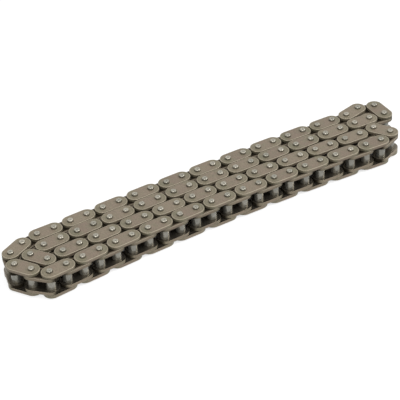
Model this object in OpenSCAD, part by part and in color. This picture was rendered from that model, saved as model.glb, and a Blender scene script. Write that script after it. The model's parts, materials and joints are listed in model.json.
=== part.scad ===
// Timing chain, laid flat in four rows as it comes out of its box.
// Outer links carry two riveted pins, inner links carry two bushes, and each pin turns in a bush.
// Every size is in millimetres. Pins stand upright, and the rows run along X.

/* [Chain] */
// Distance between the centres of neighbouring pins
pitch = 8; // [7:0.1:10]
// Links in the rear and the third row, an odd number; the other two rows have two more
short_row_links = 19; // [11:2:19]

/* [Plates] */
// Space between the ends of neighbouring plates on a straight run
plate_end_gap = 0.6; // [0.5:0.05:1.2]
// Thickness of an outer plate
outer_plate_t = 1.5; // [0.9:0.05:1.8]
// Thickness of an inner plate
inner_plate_t = 1.5; // [0.9:0.05:1.8]
// Space between the two plates of an inner link, where a sprocket tooth runs
inner_width = 5.2; // [3:0.1:7]
// Play between an inner plate and the outer plate over it
side_play = 0.1; // [0.05:0.01:0.25]
// Edge rolled over by stamping, on the outward face of a plate
rolled_edge = 0.3; // [0.1:0.05:0.45]
// Edge broken on the inward face of a plate
broken_edge = 0.1; // [0.05:0.05:0.3]

/* [Pins and bushes] */
// Diameter of a pin
pin_d = 2.5; // [1.8:0.05:2.6]
// Length of pin that stands out of an outer plate
pin_head_h = 0.9; // [0.6:0.05:1.5]
// Chamfer round the end of a pin
pin_chamfer = 0.15; // [0.1:0.05:0.4]
// Diameter of the rivet dimple in the end of a pin
dimple_d = 1.1; // [0.6:0.05:1.3]
// Depth of the rivet dimple
dimple_depth = 0.25; // [0.1:0.05:0.4]
// Wall of a bush
bush_wall = 0.8; // [0.5:0.05:1.1]
// Radial clearance of a pin in its bush
running_fit = 0.05; // [0.03:0.01:0.1]
// Line left between pressed pieces, which keeps each one a separate solid
press_line = 0.01; // [0.01:0.005:0.02]

/* [Lay of the rows] */
// Space between the plates of the rear and the second row
rear_row_gap = 0.4; // [0.3:0.05:1]
// Space between the plates of the second and the third row
middle_row_gap = 0.5; // [0.3:0.05:1]
// Space between the plates of the third and the front row
front_row_gap = 0.4; // [0.3:0.05:1]
// Place of the middle of the rear row along X
rear_row_x = 6.5; // [6:0.1:7]
// Place of the middle of the second row along X
second_row_x = 5.6; // [5.1:0.1:6.1]
// Place of the middle of the third row along X
third_row_x = 2.4; // [1.9:0.1:2.9]
// Place of the middle of the front row along X
front_row_x = -0.6; // [-1.1:0.1:-0.1]
// Turn from link to link that bows the rear row, in degrees
rear_row_bow = 0.21; // [0.15:0.01:0.25]
// Turn from link to link that bows the second row, in degrees
second_row_bow = 0.22; // [0.18:0.01:0.26]
// Turn from link to link that bows the third row, in degrees
third_row_bow = 0.29; // [0.25:0.01:0.32]
// Turn from link to link that bows the front row, in degrees
front_row_bow = 0.43; // [0.4:0.01:0.5]

/* [Lay of the turns] */
// Headings of the two links before the rear row, in degrees
rear_lead_in = [26, 12.5];
// Headings of the two links after the rear row, in degrees
rear_lead_out = [13, -20];
// Heading of the link after the second row, in degrees
second_lead_out = -161; // [-163:0.5:-160]
// Heading of the link after the third row, in degrees
third_lead_out = 3; // [1:0.5:4]
// Heading of the link after the front row, in degrees
front_lead_out = 134; // [132:0.5:136]

/* [Hidden] */
$fn = 48;
cut_over = 1;
plate_colour = [0.56, 0.53, 0.47];
inner_plate_colour = [0.51, 0.48, 0.43];
pin_colour = [0.72, 0.71, 0.68];
bush_colour = [0.6, 0.62, 0.61];

// Heights, from the lower pin ends at zero upwards
plate_h = pitch - plate_end_gap;
bush_bore = pin_d + 2 * running_fit;
bush_d = bush_bore + 2 * bush_wall;
bush_length = inner_width + 2 * inner_plate_t;
lower_outer_z = pin_head_h;
bush_z = lower_outer_z + outer_plate_t + side_play;
lower_inner_z = bush_z;
upper_inner_z = bush_z + inner_plate_t + inner_width;
upper_outer_z = bush_z + bush_length + side_play;
pin_length = upper_outer_z + outer_plate_t + pin_head_h;

// Pins on a straight or slightly bowed row lie on a large circle, one pitch apart
function row_pins(links, mid, bow) =
    let (radius = pitch / 2 / sin(bow / 2))
    [for (j = [0:links]) mid + radius * [sin((j - links / 2) * bow), cos((j - links / 2) * bow) - 1]];
function reversed(list) = [for (i = [len(list) - 1:-1:0]) list[i]];
function step(from, heading) = from + pitch * [cos(heading), sin(heading)];
function step_back(to, heading) = to - pitch * [cos(heading), sin(heading)];
// The pin that lies one pitch from both a and b, on the left or right of the way from a to b
function elbow(a, b, left) =
    let (span = norm(b - a), along = (b - a) / span, rise = sqrt(pitch * pitch - span * span / 4))
    (a + b) / 2 + (left ? rise : -rise) * [-along[1], along[0]];

long_row_links = short_row_links + 2;
rear_row_y = 0;
second_row_y = rear_row_y - plate_h - rear_row_gap;
third_row_y = second_row_y - plate_h - middle_row_gap;
front_row_y = third_row_y - plate_h - front_row_gap;
rear_row = row_pins(short_row_links, [rear_row_x, rear_row_y], rear_row_bow);
second_row = reversed(row_pins(long_row_links, [second_row_x, second_row_y], second_row_bow));
third_row = row_pins(short_row_links, [third_row_x, third_row_y], third_row_bow);
front_row = reversed(row_pins(long_row_links, [front_row_x, front_row_y], front_row_bow));

// Left end of the rear row
lead_2 = step_back(rear_row[0], 0);
lead_1 = step_back(lead_2, rear_lead_in[1]);
lead_0 = step_back(lead_1, rear_lead_in[0]);
// Right end, from the rear row to the second
right_turn_0 = step(rear_row[short_row_links], rear_lead_out[0]);
right_turn_1 = step(right_turn_0, rear_lead_out[1]);
right_turn_2 = elbow(right_turn_1, second_row[0], true);
// Left end, from the second row to the third
inner_turn_0 = step(second_row[long_row_links], second_lead_out);
inner_turn_1 = elbow(inner_turn_0, third_row[0], false);
// Right end, from the third row to the front
front_turn_0 = step(third_row[short_row_links], third_lead_out);
front_turn_1 = elbow(front_turn_0, front_row[0], true);
// Left end, from the front row back to the rear
left_turn_0 = step(front_row[long_row_links], front_lead_out);
left_turn_1 = elbow(left_turn_0, lead_0, true);

loop = concat(
    [lead_0, lead_1, lead_2], rear_row,
    [right_turn_0, right_turn_1, right_turn_2], second_row,
    [inner_turn_0, inner_turn_1], third_row,
    [front_turn_0, front_turn_1], front_row,
    [left_turn_0, left_turn_1]
);
pin_count = len(loop);
loop_x = [for (p = loop) p[0]];
loop_y = [for (p = loop) p[1]];
middle = [max(loop_x) + min(loop_x), max(loop_y) + min(loop_y)] / 2;
function pin_at(i) = loop[i % pin_count] - middle;

// Outer link i joins pins 2i and 2i + 1, and inner link i joins pins 2i + 1 and 2i + 2
link_count = pin_count / 2;
first_held = (3 + len(rear_row) + 3) / 2;
last_held = first_held + (len(second_row) + 2 + len(third_row)) / 2 - 1;
held_links = [for (i = [first_held:last_held]) i];
free_outer = concat([for (i = [0:first_held - 1]) i], [for (i = [last_held + 1:link_count - 1]) i]);
free_inner = free_outer;
closing_link = link_count - 1;

function two_digits(n) = n < 10 ? str("0", n) : str(n);
function link_name(kind, i) = str(kind, "_link_", two_digits(i + 1));

// Half of a plate's section: distance from the plate's long axis, then height
function half_section(t) = [
    [0, 0],
    [plate_h / 2 - broken_edge, 0],
    [plate_h / 2, broken_edge],
    [plate_h / 2, t - rolled_edge],
    [plate_h / 2 - rolled_edge, t],
    [0, t]
];

module plate_end(t) {
    rotate_extrude(angle = 180)
        polygon(half_section(t));
}

module plate_bar(t) {
    rotate([90, 0, 90])
        linear_extrude(pitch)
            polygon(concat(half_section(t), [for (p = reversed(half_section(t))) [-p[0], p[1]]]));
}

// Plate with its first hole at the origin and its second one pitch along X, rolled edge upwards
module plate(t, hole_d) {
    difference() {
        union() {
            rotate(90) plate_end(t);
            plate_bar(t);
            translate([pitch, 0, 0]) rotate(-90) plate_end(t);
        }
        for (x = [0, pitch])
            translate([x, 0, -cut_over])
                cylinder(d = hole_d, h = t + 2 * cut_over);
    }
}

module upper_plate(t, hole_d, z) {
    translate([0, 0, z]) plate(t, hole_d);
}

module lower_plate(t, hole_d, z) {
    translate([0, 0, z + t]) mirror([0, 0, 1]) plate(t, hole_d);
}

// End of a pin, dimple and chamfer included, from the pin's axis outwards
function pin_end_section(length) = [
    [0, dimple_depth],
    [dimple_d / 2, 0],
    [pin_d / 2 - pin_chamfer, 0],
    [pin_d / 2, pin_chamfer],
    [pin_d / 2, length],
    [0, length]
];

module pin_stub(length) {
    rotate_extrude() polygon(pin_end_section(length));
}

module pin() {
    half = pin_length / 2;
    mirrored_end = [for (p = pin_end_section(half)) [p[0], pin_length - p[1]]];
    outline = concat(
        [for (i = [0:3]) pin_end_section(half)[i]],
        [for (i = [3:-1:0]) mirrored_end[i]]
    );
    rotate_extrude() polygon(outline);
}

module bush() {
    translate([0, 0, bush_z])
        difference() {
            cylinder(d = bush_d, h = bush_length);
            translate([0, 0, -cut_over])
                cylinder(d = bush_bore, h = bush_length + 2 * cut_over);
        }
}

// Puts a link that is drawn along X on the loop, from one pin to the next
module on_loop(first_pin) {
    a = pin_at(first_pin);
    b = pin_at(first_pin + 1);
    translate([a[0], a[1], 0])
        rotate(atan2(b[1] - a[1], b[0] - a[0]))
            children();
}

module at_pin(i) {
    p = pin_at(i);
    translate([p[0], p[1], 0]) children();
}

module upper_outer_plate(i) {
    on_loop(2 * i) upper_plate(outer_plate_t, pin_d + 2 * press_line, upper_outer_z);
}

module lower_outer_plate(i) {
    on_loop(2 * i) lower_plate(outer_plate_t, pin_d + 2 * press_line, lower_outer_z);
}

module upper_inner_plate(i) {
    on_loop(2 * i + 1) upper_plate(inner_plate_t, bush_d + 2 * press_line, upper_inner_z);
}

module lower_inner_plate(i) {
    on_loop(2 * i + 1) lower_plate(inner_plate_t, bush_d + 2 * press_line, lower_inner_z);
}

// The closing link's second pin is open: only its two riveted ends are there
module outer_link(i) {
    color(plate_colour) {
        upper_outer_plate(i);
        lower_outer_plate(i);
    }
    color(pin_colour) {
        at_pin(2 * i) pin();
        if (i != closing_link)
            at_pin(2 * i + 1) pin();
    }
}

module inner_link(i) {
    color(inner_plate_colour) {
        upper_inner_plate(i);
        lower_inner_plate(i);
    }
    color(bush_colour)
        for (k = [1, 2])
            at_pin(2 * i + k) bush();
}

module closing_pin_ends() {
    color(pin_colour)
        at_pin(2 * closing_link + 1) {
            pin_stub(pin_head_h + outer_plate_t);
            translate([0, 0, pin_length])
                mirror([0, 0, 1])
                    pin_stub(pin_head_h + outer_plate_t);
        }
}

module middle_rows_pins() {
    color(pin_colour)
        for (i = held_links, k = [0, 1])
            at_pin(2 * i + k) pin();
}

module middle_rows_bushes() {
    color(bush_colour)
        for (i = held_links, k = [1, 2])
            at_pin(2 * i + k) bush();
}

module middle_rows_upper_outer_plates() {
    color(plate_colour)
        for (i = held_links)
            upper_outer_plate(i);
}

module middle_rows_lower_outer_plates() {
    color(plate_colour)
        for (i = held_links)
            lower_outer_plate(i);
}

module middle_rows_upper_inner_plates() {
    color(inner_plate_colour)
        for (i = held_links)
            upper_inner_plate(i);
}

module middle_rows_lower_inner_plates() {
    color(inner_plate_colour)
        for (i = held_links)
            lower_inner_plate(i);
}

for (i = free_outer) outer_link(i);
for (i = free_inner) inner_link(i);
closing_pin_ends();
middle_rows_pins();
middle_rows_bushes();
middle_rows_upper_outer_plates();
middle_rows_lower_outer_plates();
middle_rows_upper_inner_plates();
middle_rows_lower_inner_plates();
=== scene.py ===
"""Timing chain laid flat in four rows: the looks of every plate, pin and bush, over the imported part.

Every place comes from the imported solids. Lengths are in metres and turns in degrees.
"""

import json
import math
import random

import bmesh
import bpy
import numpy as np
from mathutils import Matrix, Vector


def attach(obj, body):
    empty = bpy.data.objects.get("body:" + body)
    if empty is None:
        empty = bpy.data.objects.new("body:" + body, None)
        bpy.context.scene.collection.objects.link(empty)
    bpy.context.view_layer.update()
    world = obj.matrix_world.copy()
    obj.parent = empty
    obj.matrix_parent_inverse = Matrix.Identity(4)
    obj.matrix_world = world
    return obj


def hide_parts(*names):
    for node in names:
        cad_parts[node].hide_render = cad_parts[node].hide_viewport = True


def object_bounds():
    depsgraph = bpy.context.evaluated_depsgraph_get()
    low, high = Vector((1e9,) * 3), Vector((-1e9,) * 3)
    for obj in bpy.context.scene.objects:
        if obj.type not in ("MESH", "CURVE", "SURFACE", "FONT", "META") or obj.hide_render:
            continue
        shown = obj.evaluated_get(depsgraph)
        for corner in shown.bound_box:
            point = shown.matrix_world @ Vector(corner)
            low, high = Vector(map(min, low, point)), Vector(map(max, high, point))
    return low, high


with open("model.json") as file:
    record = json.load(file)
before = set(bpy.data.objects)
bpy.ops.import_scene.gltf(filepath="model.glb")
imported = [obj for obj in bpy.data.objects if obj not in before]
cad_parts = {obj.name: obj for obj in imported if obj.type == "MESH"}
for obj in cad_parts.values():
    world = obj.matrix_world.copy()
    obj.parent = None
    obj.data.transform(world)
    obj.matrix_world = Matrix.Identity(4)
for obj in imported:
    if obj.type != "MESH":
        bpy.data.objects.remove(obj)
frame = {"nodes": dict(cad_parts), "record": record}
cad_low, cad_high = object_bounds()
random.seed(8)
MM = 0.001

# Camera, at the photograph's angle, with its lens and sensor in millimetres
CAMERA_PLACE = (-0.27551, -0.47161, 0.40587)
CAMERA_TURN = (53.658, 2.305, -31.429)
LENS = 138.8
SENSOR = 36
CLIP_START = 0.01
CLIP_END = 20

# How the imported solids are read
WELD = 1e-6  # corners closer than this are one
DECIMALS = 6  # places are compared to this many decimals
WIDEST_ROUND = 5 * MM  # a solid narrower than this is a pin or a bush

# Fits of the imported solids
PRESS_LINE = 0.01 * MM
RUNNING_FIT = 0.05 * MM

# Steps of the curves, and the angle past which an edge is sharp
END_STEPS = 20
SIDE_STEPS = 6
ROLL_STEPS = 6
BURR_STEPS = 3
HOLE_STEPS = 32
ROUND_STEPS = 40
SHOULDER_STEPS = 5
SHARP_ANGLE = 32

# Plate: its rolled rim on the outward face and its broken edge on the inward face
ROLL_WIDTH = 0.15 * MM
ROLL_DEPTH = 0.2 * MM
TIP_ROLL = 0.4  # extra width of the roll at the tips, as a share
SIDE_ROLL = 0.5  # depth of the roll at the sides, as a share
BURR_EDGE = 0.1 * MM
HOLE_EDGE = 0.12 * MM

# Plate: where its looks change, across its faces and up its wall
RIM_FLAT = 0.32 * MM  # worn band inside the roll, painted lighter as a highlight
SHADE_REACH = 1.5  # end of the shaded band inside that one, as a share of its width
OUTWARD_BORDER = 0.8 * MM
INWARD_BORDER = 0.6 * MM
HOLE_BORDER = 0.15 * MM
SHEAR_END = 0.22  # heights of the sheared and the broken part of the wall, as shares of the thickness
BREAK_END = 0.32
POLISH_BAND = 0.1 * MM  # below the roll, where its polish and painted lightening fade out
DARK_TIPS = (0.2, 0.6)  # nearness to a tip at which its painted shade begins and is full
SIDE_TO_TIP = (0, 0.5)  # nearness to a tip over which the side's looks become the tip's
LIGHTENED_FROM = (2.5 * MM, 4 * MM)  # from a plate's middle, where the painted shade on an inner plate's outward face begins to lighten and is lightest

# Wear of a plate, with painted highlight: nought is plain, one is worn bright and painted lighter, and more
# than one is polished by the next row and painted lighter against the shade of the gap
BURR_WEAR_AND_HIGHLIGHT = 0.4
WALL_WEAR_AND_HIGHLIGHT = 0.2
ROLL_FOOT_WEAR_AND_HIGHLIGHT = 0.4
ROLL_WEAR_AND_HIGHLIGHT_LOSS = 0.3
FLAT_WEAR_AND_HIGHLIGHT = (0.9, 0.8)  # at the roll's top and halfway across the worn and painted-lighter band
SIDE_POLISH_AND_HIGHLIGHT = 1.6

# Painted shade in gaps, recesses and under other parts, with some grime: nought is none and one is full
UPPER_WALL_SHADE_AND_GRIME = 0.8
LOWER_WALL_SHADE_AND_GRIME = 0.1
BURR_SHADE_AND_GRIME = 0.5  # this and the next three are shares of the wall's painted shade and grime
SHEAR_SHADE_AND_GRIME = 0.8
BREAK_SHADE_AND_GRIME = 0.5
HIGH_WALL_SHADE_AND_GRIME = 0.4
SIDE_SHADE_AND_GRIME = 0.32  # share of the tips' painted shade that the wall has at a plate's sides
SEAM_SHADE_AND_GRIME = 0.6  # painted shade and grime of the roll, as a share of the outward face's
# Painted shade: a thin darker band just inside the worn rim
RIM_BAND_SHADE = 0.12
HOLE_RIM_SHADE_AND_GRIME = 0.5
LIGHTENED_END_SHARE = 0.3  # share of its painted shade that an inner plate's outward face keeps at its ends
PIN_FOOT_SHADE = 0.9
SHOULDER_SHADE = 0.05
BUSH_END_SHADE = 0.3

# Pin, with a rivet's dimple in its ends
PIN_ROUNDING = 0.18 * MM
PIN_SHOULDER = 0.3 * MM
PIN_FOOT = 0.86 * MM  # from the end face to just off the plate, where the painted shade is darkest
PIN_TILT = 0.07  # steepest slope of an upper end face, along X and along Y
DIMPLE_RADIUS = 0.55 * MM
DIMPLE_RINGS = ((1, 0, 0.08), (0.72, 0.07 * MM, 0.28), (0.3, 0.18 * MM, 0.4))  # radius share, depth, painted shade

# Bush
BUSH_EDGE = 0.12 * MM
BUSH_IN_PLATE = 1.52 * MM

# Colours of the steels in sRGB shares, with the warm and the cool tone that each runs between
OUTER_PLATE_COLOUR = (0.508, 0.468, 0.397)
OUTER_PLATE_TONES = ((0.525, 0.465, 0.405), (0.495, 0.475, 0.39))
INNER_PLATE_COLOUR = (0.508, 0.463, 0.393)
INNER_PLATE_TONES = ((0.518, 0.46, 0.395), (0.493, 0.467, 0.385))
PIN_COLOUR = (0.7, 0.675, 0.62)
PIN_TONES = ((0.76, 0.73, 0.68), (0.64, 0.63, 0.58))
BUSH_COLOUR = (0.56, 0.545, 0.505)
BUSH_TONES = ((0.57, 0.55, 0.5), (0.545, 0.54, 0.51))
# Rim and side colours: worn and polished steel, painted lighter as highlight
RIM_WEAR_AND_HIGHLIGHT_COLOUR = (0.6, 0.56, 0.485)
SIDE_POLISH_AND_HIGHLIGHT_COLOUR = (0.64, 0.6, 0.525)
# Painted shade colour, with some grime: gaps, recesses and parts under other parts darken towards it
SHADE_AND_GRIME_COLOUR = (0.115, 0.095, 0.062)
INWARD_COLOUR = (0.47, 0.445, 0.4)

# Finish of the steels: metallic share, roughness and strength of the grain
PLATE_FINISH = (0.4, 0.42, 0.35)
PIN_FINISH = (0.85, 0.24, 0.12)
BUSH_FINISH = (0.6, 0.2, 0.06)

# Noise in the steels: scale per metre, detail and roughness
CLOUDS = (330, 3, 0.5)
SPECKLE = (1900, 3, 0.65)
GRAIN = (7000, 3, 0.7)
GRAIN_DEPTH = 0.02 * MM

# Ranges in the steels: a value from the first number to the second gives the third to the fourth
CLOUD_WARMTH = (0.35, 0.65, -0.35, 0.35)
MIDDLE_WARMTH = (0.15, 0.9, 0, 1)
WARMTH_TONE = (0, 1, 0, 1)
TINT_TONE = (0, 1, 0.35, 1)
TINT_LIGHTNESS = (0, 1, 1.08, 0.92)
SPECKLE_LIGHTNESS = (0.28, 0.72, 0.72, 1.2)
WEAR_AND_HIGHLIGHT_SHOWN = (0.2, 1, 0, 1)
CLOUD_WEAR_AND_HIGHLIGHT = (0.3, 0.6, 0.35, 1)
POLISH_AND_HIGHLIGHT_SHARE = (1, SIDE_POLISH_AND_HIGHLIGHT, 0, 1)
SPECKLE_SHADE_AND_GRIME = (0.3, 0.7, 1, 0.96)
SHADE_AND_GRIME_SPECULAR = (0, 1, 0.5, 0.08)
SHADE_AND_GRIME_ROUGHNESS = (0, 1, 0, 0.35)
INWARD_ROUGHNESS = (0, 1, 0, -0.34)
SPECKLE_SPAN = (0.25, 0.75)
SPECKLE_ROUGHNESS = (-0.07, 0.09)  # added to a finish's roughness at the ends of that span
SHADE_AND_GRIME_METALLIC = 0.2  # metallic share of full painted shade and grime

# Floor and world, with their colours as linear values
WHITE = (1, 1, 1, 1)
FLOOR_COLOUR = (0.3, 0.3, 0.3, 1)
FLOOR_ROUGHNESS = 0.9
FLOOR_GLOW = 0.8
FLOOR_SIZE = 4
COVER_REACH = 20 * MM
COVER_OPEN = (0.02, 0.1)  # share of open sky at which the floor's glow begins and is full
WORLD_SHOWN = 1
WORLD_LIGHT = 0.4

# Lamps: name, place, the point that it is aimed at, diameter and power in watts
LAMPS = (
    ("lamp_above", (-0.16, -0.16, 0.5), (-0.04, 0, 0), 0.26, 1.1),
    ("lamp_side", (1.03, -0.52, 0.9), (0, 0, 0), 0.5, 12.8),
    ("lamp_low", (-0.52, -0.7, 0.2), (0, 0, 0), 0.6, 2.2),
)


# Solids of the frame

def solids(node):
    """The closed solids of a CAD node, each as an array of its corners."""
    work = bmesh.new()
    work.from_mesh(frame["nodes"][node].data)
    bmesh.ops.remove_doubles(work, verts=work.verts, dist=WELD)
    found, seen = [], set()
    for start in work.verts:
        if start in seen:
            continue
        seen.add(start)
        island, waiting = [], [start]
        while waiting:
            vertex = waiting.pop()
            island.append(tuple(vertex.co))
            for edge in vertex.link_edges:
                other = edge.other_vert(vertex)
                if other not in seen:
                    seen.add(other)
                    waiting.append(other)
        found.append(np.array(island))
    work.free()
    return found


def is_round(corners):
    return max(np.ptp(corners[:, 0]), np.ptp(corners[:, 1])) < WIDEST_ROUND


def centre_of(corners):
    return (corners.min(0) + corners.max(0)) / 2


def direction(a, b):
    return (b - a) / np.linalg.norm(b - a)


node_solids = {node: solids(node) for node in frame["nodes"]}
pin_places = np.unique(np.round([
    centre_of(s)[:2]
    for node, found in node_solids.items() if not ("inner" in node or "bush" in node)
    for s in found if is_round(s)
], DECIMALS), axis=0)
plate_heights = [centre_of(s)[2] for found in node_solids.values() for s in found if not is_round(s)]
middle_height = (min(plate_heights) + max(plate_heights)) / 2
pin_radius = np.ptp(node_solids["middle_rows_pins"][0][:, 0]) / 2
bush_radius = np.ptp(node_solids["middle_rows_bushes"][0][:, 0]) / 2


def ends_of(corners):
    """The two pins that a plate goes round."""
    middle = centre_of(corners)[:2]
    order = np.argsort(np.linalg.norm(pin_places - middle, axis=1))
    return pin_places[order[0]], pin_places[order[1]]


def plate_radius(corners, a, b):
    """Half of a plate's width across the line from one of its pins to the other."""
    along = direction(a, b)
    aside = (corners[:, :2] - a) @ np.array([-along[1], along[0]])
    return np.abs(aside).max()


# Shapes: corners, faces and each corner's wear with painted highlight, painted shade with grime, nearness to
# a plate's middle and share of inward face

def ring_mesh(rings, ends):
    """Faces between rings of corners that have equal counts, with the end rings open, filled or joined."""
    count = len(rings[0])
    total = len(rings) * count
    faces = []
    for k in range(len(rings) if ends == "joined" else len(rings) - 1):
        for j in range(count):
            a, b = k * count + j, k * count + (j + 1) % count
            faces.append((a, b, (b + count) % total, (a + count) % total))
    if ends == "filled":
        faces.append(tuple(range(count - 1, -1, -1)))
        faces.append(tuple(range(total - count, total)))
    return np.vstack(rings), faces


def quarter(from_point, to_point, first_axis_first, steps):
    """Points on a quarter of an ellipse from one point to another, both left out.
    The curve starts along the first axis or, where first_axis_first is false, along the second."""
    (r0, z0), (r1, z1) = from_point, to_point
    points = []
    for k in range(1, steps):
        t = k / steps * math.pi / 2
        if first_axis_first:
            points.append((r0 + (r1 - r0) * math.sin(t), z0 + (z1 - z0) * (1 - math.cos(t))))
        else:
            points.append((r0 + (r1 - r0) * (1 - math.cos(t)), z0 + (z1 - z0) * math.sin(t)))
    return points


def obround(length, radius, z, inset, tip_share):
    """A closed line round a plate: two half circles, moved in by the inset, more at the tips by tip_share.
    The second list says how near each point is to a tip, from nought to one."""
    points, tips = [], []
    for x, start, side in ((length, -math.pi / 2, 1), (0, math.pi / 2, -1)):
        for k in range(END_STEPS + 1):
            turn = start + math.pi * k / END_STEPS
            tip = math.cos(turn) ** 2
            reach = radius - inset * (1 + tip_share * tip)
            points.append((x + reach * math.cos(turn), reach * math.sin(turn), z))
            tips.append(tip)
        for k in range(1, SIDE_STEPS):
            points.append((x - side * length * k / SIDE_STEPS, side * (radius - inset), z))
            tips.append(0)
    return np.array(points), np.array(tips)


def plate_profile(thickness, outward_shade, wall_shade_and_grime):
    """A plate's edge from its inward face round to its outward face.
    Each line is inset, height, share of extra inset at the tips, wear with painted highlight, and painted
    shade with grime."""
    roll_foot = thickness - ROLL_DEPTH
    seam = SEAM_SHADE_AND_GRIME * outward_shade
    # Painted shade, with some grime, darkens the wall towards its burr side and the seam by the roll
    lines = [
        (INWARD_BORDER + BURR_EDGE, 0, 0, 0, 1),
        (BURR_EDGE, 0, 0, BURR_WEAR_AND_HIGHLIGHT, wall_shade_and_grime * BURR_SHADE_AND_GRIME),
    ]
    for inset, z in quarter((BURR_EDGE, 0), (0, BURR_EDGE), True, BURR_STEPS):
        lines.append((inset, z, 0, BURR_WEAR_AND_HIGHLIGHT, wall_shade_and_grime))
    lines += [
        (0, BURR_EDGE, 0, 0, wall_shade_and_grime),
        (0, thickness * SHEAR_END, 0, 0, wall_shade_and_grime * SHEAR_SHADE_AND_GRIME),
        (0, thickness * BREAK_END, 0, WALL_WEAR_AND_HIGHLIGHT, wall_shade_and_grime * BREAK_SHADE_AND_GRIME),
        (0, roll_foot - POLISH_BAND, 0, WALL_WEAR_AND_HIGHLIGHT, wall_shade_and_grime * HIGH_WALL_SHADE_AND_GRIME),
        (0, roll_foot, TIP_ROLL, ROLL_FOOT_WEAR_AND_HIGHLIGHT, seam),
    ]
    for inset, z in quarter((0, roll_foot), (ROLL_WIDTH, thickness), False, ROLL_STEPS):
        lines.append((inset, z, TIP_ROLL, 1 - ROLL_WEAR_AND_HIGHLIGHT_LOSS * inset / ROLL_WIDTH, seam))
    lines += [
        (ROLL_WIDTH, thickness, TIP_ROLL, FLAT_WEAR_AND_HIGHLIGHT[0], seam),
        (ROLL_WIDTH + RIM_FLAT / 2, thickness, TIP_ROLL, FLAT_WEAR_AND_HIGHLIGHT[1], seam),
        (ROLL_WIDTH + RIM_FLAT, thickness, TIP_ROLL, 0, RIM_BAND_SHADE),
        (ROLL_WIDTH + RIM_FLAT * SHADE_REACH, thickness, TIP_ROLL, 0, RIM_BAND_SHADE),
        (ROLL_WIDTH + OUTWARD_BORDER, thickness, TIP_ROLL, 0, outward_shade),
    ]
    return lines


def plate_edge(length, radius, thickness, outward_shade, wall_shade_and_grime):
    """A plate's edge as corners, faces, each corner's wear with painted highlight and painted shade with
    grime, and the count of corners in a line.
    """
    lines = plate_profile(thickness, outward_shade, wall_shade_and_grime)
    rings = [obround(length, radius, z, inset, share) for inset, z, share, _, _ in lines]
    corners, faces = ring_mesh([points for points, _ in rings], "open")
    count = len(rings[0][1])
    tips = np.tile(rings[0][1], len(lines))
    wear_and_highlight = np.repeat([w for *_, w, _ in lines], count)
    shade_and_grime = np.repeat([g for *_, g in lines], count)

    heights = corners[:, 2].copy()
    on_wall = (heights > 0) & (heights < thickness)
    # Painted shade: an inner plate darkens towards its tips, which lie under the outer plates
    dark_tips = outward_shade * np.interp(tips, DARK_TIPS, (0, 1))
    shade_and_grime = np.where(on_wall, shade_and_grime * np.interp(tips, SIDE_TO_TIP, (SIDE_SHADE_AND_GRIME, 1)), shade_and_grime)
    shade_and_grime = shade_and_grime + (1 - shade_and_grime) * dark_tips

    rolled = heights > thickness - ROLL_DEPTH - WELD
    depth = (thickness - heights) * (SIDE_ROLL + (1 - SIDE_ROLL) * tips)
    corners[:, 2] = np.where(rolled, thickness - depth, heights)
    # The roll at a plate's sides is painted lighter: polish, and painted light against the shade between
    # rows
    polished_and_lightened = rolled & (corners[:, 2] < thickness - WELD)
    sides = np.interp(tips, SIDE_TO_TIP, (1, 0))
    wear_and_highlight = np.where(polished_and_lightened, np.maximum(wear_and_highlight, sides * SIDE_POLISH_AND_HIGHLIGHT), wear_and_highlight)
    return corners, faces, wear_and_highlight, shade_and_grime, count


def hole_wall(work, x, lines):
    """Adds a hole's wall and gives its rings of vertices. Each line is radius, height and painted shade with
    grime.
    """
    angles = np.linspace(0, 2 * math.pi, HOLE_STEPS, endpoint=False)
    levels = []
    for r, z, _ in lines:
        levels.append([work.verts.new((x + r * math.cos(t), r * math.sin(t), z)) for t in angles])
    for a, b in zip(levels, levels[1:]):
        for j in range(HOLE_STEPS):
            k = (j + 1) % HOLE_STEPS
            work.faces.new((a[k], a[j], b[j], b[k]))
    return levels


def fill_face(work, loops, up):
    """Fills a plate's flat face between its outline and its holes."""
    edges = []
    for loop in loops:
        for a, b in zip(loop, loop[1:] + loop[:1]):
            edges.append(work.edges.get((a, b)))
    bmesh.ops.triangle_fill(work, use_beauty=True, edges=edges, normal=(0, 0, up))


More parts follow.
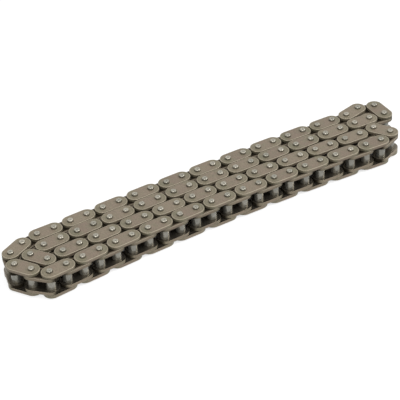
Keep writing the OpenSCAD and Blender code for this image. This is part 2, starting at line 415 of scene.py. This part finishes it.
def plate_mesh(length, radius, thickness, hole_radius, outward_shade, wall_shade_and_grime):
    """A stamped plate with two holes. Its rolled rim is up, and its first hole is at the origin."""
    corners, faces, wear_and_highlight, shade_and_grime, count = plate_edge(length, radius, thickness, outward_shade, wall_shade_and_grime)
    # Painted shade, with some grime, in a ring round each hole where the pin stands
    hole_lines = (
        (hole_radius, 0, 1),
        (hole_radius, thickness - HOLE_EDGE, 1),
        (hole_radius + HOLE_EDGE, thickness, HOLE_RIM_SHADE_AND_GRIME),
        (hole_radius + HOLE_EDGE + HOLE_BORDER, thickness, outward_shade),
    )
    hole_shade_and_grime = np.repeat([g for *_, g in hole_lines], HOLE_STEPS)
    wear_and_highlight = np.concatenate([wear_and_highlight, np.zeros(2 * len(hole_shade_and_grime))])
    shade_and_grime = np.concatenate([shade_and_grime, hole_shade_and_grime, hole_shade_and_grime])

    work = bmesh.new()
    edge = [work.verts.new(c) for c in corners]
    for face in faces:
        work.faces.new([edge[i] for i in face])
    holes = [hole_wall(work, x, hole_lines) for x in (0, length)]
    fill_face(work, [edge[:count]] + [levels[0] for levels in holes], -1)
    fill_face(work, [edge[-count:]] + [levels[-1] for levels in holes], 1)
    work.verts.index_update()
    bmesh.ops.recalc_face_normals(work, faces=work.faces)
    corners = np.array([v.co for v in work.verts])
    faces = [tuple(v.index for v in f.verts) for f in work.faces]
    work.free()

    from_middle = np.abs(corners[:, 0] - length / 2)
    # The painted shade on an inner plate's outward face is lighter towards its ends
    lightened = outward_shade * (1 - np.interp(from_middle, LIGHTENED_FROM, (1, LIGHTENED_END_SHARE)))
    values = {
        "wear_and_highlight": wear_and_highlight,
        "shade_and_grime": np.where(corners[:, 2] > thickness - WELD, shade_and_grime * (1 - lightened), shade_and_grime),
        "middle": np.clip(1 - from_middle / (length / 2 + radius), 0, 1),
        "inward": (corners[:, 2] < WELD).astype(float),
    }
    return corners, faces, values


def turned(lines, ends):
    """A shape turned about the Z axis, with painted shade as its only value. A line is radius, height and
    painted shade.
    """
    angles = np.linspace(0, 2 * math.pi, ROUND_STEPS, endpoint=False)
    rings = [np.c_[r * np.cos(angles), r * np.sin(angles), np.full(ROUND_STEPS, z)] for r, z, _ in lines]
    corners, faces = ring_mesh(rings, ends)
    shade_and_grime = np.repeat([g for *_, g in lines], ROUND_STEPS)
    plain = np.zeros(len(corners))
    return corners, faces, {"wear_and_highlight": plain, "shade_and_grime": shade_and_grime, "middle": plain, "inward": plain}


def pin_end(radius, z, inwards):
    """Lines from just off the plate to the dimple; inwards is 1 at a pin's lower end and -1 at its upper."""
    shoulder = (radius, z + inwards * PIN_SHOULDER)
    face = (radius - PIN_ROUNDING, z)
    # Painted shade at the pin's foot, next to the plate, and in its dimple
    lines = [(radius, z + inwards * PIN_FOOT, PIN_FOOT_SHADE), (*shoulder, SHOULDER_SHADE)]
    lines += [(r, h, 0) for r, h in quarter(shoulder, face, False, SHOULDER_STEPS)]
    lines.append((*face, 0))
    for share, depth, shade_and_grime in DIMPLE_RINGS:
        lines.append((DIMPLE_RADIUS * share, z + inwards * depth, shade_and_grime))
    return lines


def pin_mesh(radius, length, shows_below, shows_above):
    """A pin with a rounded and dimpled end wherever one shows, and a plain end otherwise."""
    bottom = pin_end(radius, 0, 1)[::-1] if shows_below else [(radius, 0, 1)]
    top = pin_end(radius, length, -1) if shows_above else [(radius, length, 1)]
    return turned(bottom + top, "filled")


def bush_mesh(radius, bore, length):
    """A bush with broken edges outside and a through bore, with painted shade at its ends and none between
    its plates.
    """
    return turned([
        (bore, 0, BUSH_END_SHADE),
        (radius - BUSH_EDGE, 0, BUSH_END_SHADE),
        (radius, BUSH_EDGE, 1),
        (radius, BUSH_IN_PLATE, 0),
        (radius, length - BUSH_IN_PLATE, 0),
        (radius, length - BUSH_EDGE, 1),
        (radius - BUSH_EDGE, length, BUSH_END_SHADE),
        (bore, length, BUSH_END_SHADE),
    ], "joined")


# Laying shapes in their places

class Laid:
    """Lays a shape from one pin to the next, at a height, turned over if it is a lower plate."""

    def __init__(self, a, b, low, high, flipped):
        self.a, self.low, self.high, self.flipped = a, low, high, flipped
        along = direction(a, b)
        self.turn = np.array([[along[0], -along[1]], [along[1], along[0]]])

    def __call__(self, corners):
        plan = corners[:, :2] @ self.turn.T + self.a
        z = self.high - corners[:, 2] if self.flipped else self.low + corners[:, 2]
        return np.c_[plan, z]


class Stood:
    """Stands a turned shape on a height at a pin's place, with its upper end face a little out of level."""

    flipped = False

    def __init__(self, place, low, tilt):
        self.place, self.low, self.tilt = place, low, np.array(tilt)

    def __call__(self, corners):
        rise = corners[:, :2] @ self.tilt
        top = corners[:, 2] > corners[:, 2].max() - PIN_SHOULDER
        moved = corners.copy()
        moved[top, 2] += (rise - rise.max())[top]
        return moved + np.array([*self.place, self.low])


class Piece:
    """Gathers the meshes of one object, with a tint that is the same all over each mesh."""

    def __init__(self, name):
        self.name = name
        self.corners, self.faces, self.values = [], [], {}
        self.count = 0

    def add(self, shape, place, tint):
        corners, faces, values = shape
        self.corners.append(place(corners))
        for face in faces:
            moved = tuple(i + self.count for i in face)
            self.faces.append(moved[::-1] if place.flipped else moved)
        for name, numbers in {**values, "tint": np.full(len(corners), tint)}.items():
            self.values.setdefault(name, []).append(numbers)
        self.count += len(corners)

    def build(self, material):
        mesh = bpy.data.meshes.new(self.name)
        mesh.from_pydata(np.vstack(self.corners).tolist(), [], self.faces)
        mesh.materials.append(material)
        for name, numbers in self.values.items():
            attribute = mesh.attributes.new(name, "FLOAT", "POINT")
            attribute.data.foreach_set("value", np.concatenate(numbers).astype(np.float32))
        mesh.shade_smooth()
        mesh.set_sharp_from_angle(angle=math.radians(SHARP_ANGLE))
        made = bpy.data.objects.new(self.name, mesh)
        bpy.context.scene.collection.objects.link(made)
        return made


# Shader nodes

def linear(colour):
    """An sRGB colour as the linear values that a shader takes."""
    parts = [c / 12.92 if c <= 0.04045 else ((c + 0.055) / 1.055) ** 2.4 for c in colour]
    return (*parts, 1)


def add_node(tree, kind, **values):
    made = tree.nodes.new(kind)
    for name, value in values.items():
        setattr(made, name, value)
    return made


def combined(tree, operation, first, second, kind="ShaderNodeMath"):
    made = add_node(tree, kind, operation=operation)
    tree.links.new(first, made.inputs[0])
    tree.links.new(second, made.inputs[1])
    return made.outputs[0]


def noise(tree, place, scale, detail, roughness):
    made = add_node(tree, "ShaderNodeTexNoise")
    made.inputs["Scale"].default_value = scale
    made.inputs["Detail"].default_value = detail
    made.inputs["Roughness"].default_value = roughness
    tree.links.new(place, made.inputs["Vector"])
    return made.outputs["Fac"]


def ranged(tree, value, low, high, to_low, to_high):
    made = add_node(tree, "ShaderNodeMapRange")
    tree.links.new(value, made.inputs["Value"])
    for name, number in (("From Min", low), ("From Max", high), ("To Min", to_low), ("To Max", to_high)):
        made.inputs[name].default_value = number
    return made.outputs["Result"]


def blended(tree, share, first, second, blend_type="MIX"):
    """Mixes two colours; each is a socket or a colour, and the share a socket or a number."""
    made = add_node(tree, "ShaderNodeMix", data_type="RGBA", blend_type=blend_type)
    for socket, value in ((made.inputs[0], share), (made.inputs[6], first), (made.inputs[7], second)):
        if isinstance(value, bpy.types.NodeSocket):
            tree.links.new(value, socket)
        else:
            socket.default_value = value
    return made.outputs[2]


def value_of(tree, name):
    return add_node(tree, "ShaderNodeAttribute", attribute_name=name).outputs["Fac"]


def own_place(tree):
    """Object coordinates moved by each mesh's tint, so that no two meshes have the same noise."""
    place = add_node(tree, "ShaderNodeTexCoord").outputs["Object"]
    return combined(tree, "ADD", place, value_of(tree, "tint"), "ShaderNodeVectorMath")


# Materials

def speckled_colour(tree, colour, tones, clouds, speckle):
    """A steel's colour, warm in a plate's middle and cool at its ends, lighter or darker by mesh."""
    warm, cool = tones
    tint = value_of(tree, "tint")
    middle = ranged(tree, value_of(tree, "middle"), *MIDDLE_WARMTH)
    warmth = combined(tree, "ADD", ranged(tree, clouds, *CLOUD_WARMTH), middle)
    tone = blended(tree, ranged(tree, warmth, *WARMTH_TONE), linear(cool), linear(warm))
    base = blended(tree, ranged(tree, tint, *TINT_TONE), linear(colour), tone)
    spots = ranged(tree, speckle, *SPECKLE_LIGHTNESS)
    lightness = combined(tree, "MULTIPLY", spots, ranged(tree, tint, *TINT_LIGHTNESS))
    return blended(tree, 1, base, lightness, "MULTIPLY")


def worn_and_highlighted_colour(tree, colour, rim, clouds):
    """A colour with its worn rims and its polished side edges, both painted lighter as highlight."""
    wear_and_highlight = value_of(tree, "wear_and_highlight")
    lightened = combined(tree, "MULTIPLY", ranged(tree, wear_and_highlight, *WEAR_AND_HIGHLIGHT_SHOWN), ranged(tree, clouds, *CLOUD_WEAR_AND_HIGHLIGHT))
    worn_and_highlighted = blended(tree, lightened, colour, linear(rim))
    return blended(tree, ranged(tree, wear_and_highlight, *POLISH_AND_HIGHLIGHT_SHARE), worn_and_highlighted, linear(SIDE_POLISH_AND_HIGHLIGHT_COLOUR))


def roughness_of(tree, rough, speckle, shade_and_grime, inward):
    """A finish's roughness, uneven with the speckle, more under painted shade and grime and less on inward
    faces.
    """
    least, most = SPECKLE_ROUGHNESS
    uneven = ranged(tree, speckle, *SPECKLE_SPAN, rough + least, rough + most)
    shaded_and_dirty = combined(tree, "ADD", uneven, ranged(tree, shade_and_grime, *SHADE_AND_GRIME_ROUGHNESS))
    return combined(tree, "ADD", shaded_and_dirty, ranged(tree, inward, *INWARD_ROUGHNESS))


def grain_of(tree, place, strength):
    """The bumps of a satin finish."""
    bump = add_node(tree, "ShaderNodeBump")
    bump.inputs["Strength"].default_value = strength
    bump.inputs["Distance"].default_value = GRAIN_DEPTH
    tree.links.new(noise(tree, place, *GRAIN), bump.inputs["Height"])
    return bump.outputs["Normal"]


def steel(name, colour, rim, tones, finish):
    """Satin steel with worn rims and polished side edges, both painted lighter as highlight, and with
    painted shade and some grime. Its inward faces are rubbed bright.
    """
    metallic, rough, grain = finish
    material = bpy.data.materials.new(name)
    material.use_nodes = True
    tree = material.node_tree
    shader = tree.nodes["Principled BSDF"]
    place = own_place(tree)
    clouds = noise(tree, place, *CLOUDS)
    speckle = noise(tree, place, *SPECKLE)
    inward = value_of(tree, "inward")
    # Painted shade, with some grime, darkens the colour and dulls the finish
    shade_and_grime = combined(tree, "MULTIPLY", value_of(tree, "shade_and_grime"), ranged(tree, speckle, *SPECKLE_SHADE_AND_GRIME))
    worn_and_highlighted = worn_and_highlighted_colour(tree, speckled_colour(tree, colour, tones, clouds, speckle), rim, clouds)
    shaded_and_dirty = blended(tree, shade_and_grime, worn_and_highlighted, linear(SHADE_AND_GRIME_COLOUR))
    results = {
        "Base Color": blended(tree, inward, shaded_and_dirty, linear(INWARD_COLOUR)),
        "Metallic": combined(tree, "MAXIMUM", ranged(tree, shade_and_grime, 0, 1, metallic, SHADE_AND_GRIME_METALLIC), inward),
        "Specular IOR Level": ranged(tree, shade_and_grime, *SHADE_AND_GRIME_SPECULAR),
        "Roughness": roughness_of(tree, rough, speckle, shade_and_grime, inward),
        "Normal": grain_of(tree, place, grain),
    }
    for socket, result in results.items():
        tree.links.new(result, shader.inputs[socket])
    return material


outer_steel = steel("outer_plate_satin", OUTER_PLATE_COLOUR, RIM_WEAR_AND_HIGHLIGHT_COLOUR, OUTER_PLATE_TONES, PLATE_FINISH)
inner_steel = steel("inner_plate_satin", INNER_PLATE_COLOUR, RIM_WEAR_AND_HIGHLIGHT_COLOUR, INNER_PLATE_TONES, PLATE_FINISH)
pin_steel = steel("pin_bright", PIN_COLOUR, PIN_COLOUR, PIN_TONES, PIN_FINISH)
bush_steel = steel("bush_satin", BUSH_COLOUR, BUSH_COLOUR, BUSH_TONES, BUSH_FINISH)


# Pieces, with equal plates, pins and bushes made once

plate_shapes = {}
round_shapes = {}


def plate_shape(corners, a, b, hole_radius, outward_shade, wall_shade_and_grime):
    thickness = np.ptp(corners[:, 2])
    radius = plate_radius(corners, a, b)
    key = (*(round(size, DECIMALS) for size in (thickness, radius, hole_radius)), wall_shade_and_grime)
    if key not in plate_shapes:
        length = np.linalg.norm(b - a)
        plate_shapes[key] = plate_mesh(length, radius, thickness, hole_radius, outward_shade, wall_shade_and_grime)
    return plate_shapes[key]


def round_shape(corners, low, high, bore):
    """A bush's shape or, where the bore is nought, a pin's."""
    key = (round(low, DECIMALS), round(high, DECIMALS), bore)
    if key not in round_shapes:
        radius = np.ptp(corners[:, 0]) / 2
        if bore:
            round_shapes[key] = bush_mesh(radius, bore, high - low)
        else:
            round_shapes[key] = pin_mesh(radius, high - low, low < WELD, high > cad_high.z - WELD)
    return round_shapes[key]


def body_of_node(node):
    for body, members in frame["record"]["behaviour"]["bodies"].items():
        if node in members:
            return body


def put_on_body(piece, node, material):
    made = piece.build(material)
    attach(made, body_of_node(node))
    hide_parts(node)


def finish_plates(node, name, material, slot, hole_radius, outward_shade):
    piece = Piece(name)
    for corners in node_solids[node]:
        if is_round(corners):
            continue
        a, b = ends_of(corners)
        low, high = corners[:, 2].min(), corners[:, 2].max()
        lower = centre_of(corners)[2] < middle_height
        wall_shade_and_grime = LOWER_WALL_SHADE_AND_GRIME if lower else UPPER_WALL_SHADE_AND_GRIME
        shape = plate_shape(corners, a, b, hole_radius, outward_shade, wall_shade_and_grime)
        piece.add(shape, Laid(a, b, low, high, lower), random.random())
    put_on_body(piece, node, material)


def finish_rounds(node, name, material, slot, bore):
    piece = Piece(name)
    lean = 0 if bore else PIN_TILT
    for corners in node_solids[node]:
        if not is_round(corners):
            continue
        low, high = corners[:, 2].min(), corners[:, 2].max()
        tilt = (random.uniform(-lean, lean), random.uniform(-lean, lean))
        place = Stood(centre_of(corners)[:2], low, tilt)
        piece.add(round_shape(corners, low, high, bore), place, random.random())
    put_on_body(piece, node, material)


# The last number is the painted shade on a plate's outward face: full on inner plates, under the outer
# plates
outer_plates = (outer_steel, "outer_plate_steel", pin_radius + PRESS_LINE, 0)
inner_plates = (inner_steel, "inner_plate_steel", bush_radius + PRESS_LINE, 1)
pins = (pin_steel, "pin_steel", 0)
bushes = (bush_steel, "bush_steel", pin_radius + RUNNING_FIT)

for node in sorted(frame["nodes"]):
    inner = "inner" in node
    plates = inner_plates if inner else outer_plates
    rounds = bushes if inner or "bush" in node else pins
    has_plates = any(not is_round(s) for s in node_solids[node])
    has_rounds = any(is_round(s) for s in node_solids[node])
    if has_plates and has_rounds:
        finish_plates(node, f"{node}_plates", *plates)
        finish_rounds(node, f"{node}_bushes" if inner else f"{node}_pins", *rounds)
    elif has_plates:
        finish_plates(node, f"{node}_finished", *plates)
    else:
        finish_rounds(node, f"{node}_finished", *rounds)


# Floor, light and camera

def seen_or_mirrored(tree):
    """One for rays from the camera, off gloss or through glass, and nought for light that falls."""
    rays = add_node(tree, "ShaderNodeLightPath").outputs
    either = combined(tree, "MAXIMUM", rays["Is Camera Ray"], rays["Is Glossy Ray"])
    return combined(tree, "MAXIMUM", either, rays["Is Transmission Ray"])


def studio_floor():
    """A floor that shows white, and that glows less where the chain covers it closely."""
    bpy.ops.mesh.primitive_plane_add(size=FLOOR_SIZE, location=(0, 0, cad_low.z))
    floor = bpy.context.object
    floor.name = "studio_floor"
    material = bpy.data.materials.new("floor_white")
    material.use_nodes = True
    tree = material.node_tree
    shader = tree.nodes["Principled BSDF"]
    shader.inputs["Base Color"].default_value = FLOOR_COLOUR
    shader.inputs["Roughness"].default_value = FLOOR_ROUGHNESS
    shader.inputs["Specular IOR Level"].default_value = 0
    shader.inputs["Emission Color"].default_value = WHITE
    cover = add_node(tree, "ShaderNodeAmbientOcclusion")
    cover.inputs["Distance"].default_value = COVER_REACH
    glow = ranged(tree, cover.outputs["AO"], *COVER_OPEN, 0, FLOOR_GLOW)
    strength = combined(tree, "MULTIPLY", seen_or_mirrored(tree), glow)
    tree.links.new(strength, shader.inputs["Emission Strength"])
    floor.data.materials.append(material)


def white_background(tree, strength):
    made = add_node(tree, "ShaderNodeBackground")
    made.inputs["Color"].default_value = WHITE
    made.inputs["Strength"].default_value = strength
    return made.outputs[0]


def studio_world():
    """A world that shows white and gives less light than it shows."""
    world = bpy.data.worlds.new("studio")
    bpy.context.scene.world = world
    world.use_nodes = True
    tree = world.node_tree
    tree.nodes.clear()
    out = add_node(tree, "ShaderNodeOutputWorld")
    mixed = add_node(tree, "ShaderNodeMixShader")
    tree.links.new(seen_or_mirrored(tree), mixed.inputs[0])
    tree.links.new(white_background(tree, WORLD_LIGHT), mixed.inputs[1])
    tree.links.new(white_background(tree, WORLD_SHOWN), mixed.inputs[2])
    tree.links.new(mixed.outputs[0], out.inputs["Surface"])


def soft_lamp(name, place, aim, size, power):
    lamp = bpy.data.lights.new(name, "AREA")
    lamp.shape = "DISK"
    lamp.size = size
    lamp.energy = power
    made = bpy.data.objects.new(name, lamp)
    made.location = place
    made.rotation_euler = (Vector(aim) - Vector(place)).to_track_quat("-Z", "Y").to_euler()
    bpy.context.scene.collection.objects.link(made)


def photo_camera():
    camera = bpy.data.objects.new("camera", bpy.data.cameras.new("camera"))
    camera.location = CAMERA_PLACE
    camera.rotation_euler = [math.radians(turn) for turn in CAMERA_TURN]
    camera.data.lens = LENS
    camera.data.sensor_width = SENSOR
    camera.data.clip_start = CLIP_START
    camera.data.clip_end = CLIP_END
    bpy.context.scene.collection.objects.link(camera)
    bpy.context.scene.camera = camera


studio_floor()
studio_world()
for lamp in LAMPS:
    soft_lamp(*lamp)
photo_camera()
bpy.context.scene.view_settings.view_transform = "Standard"
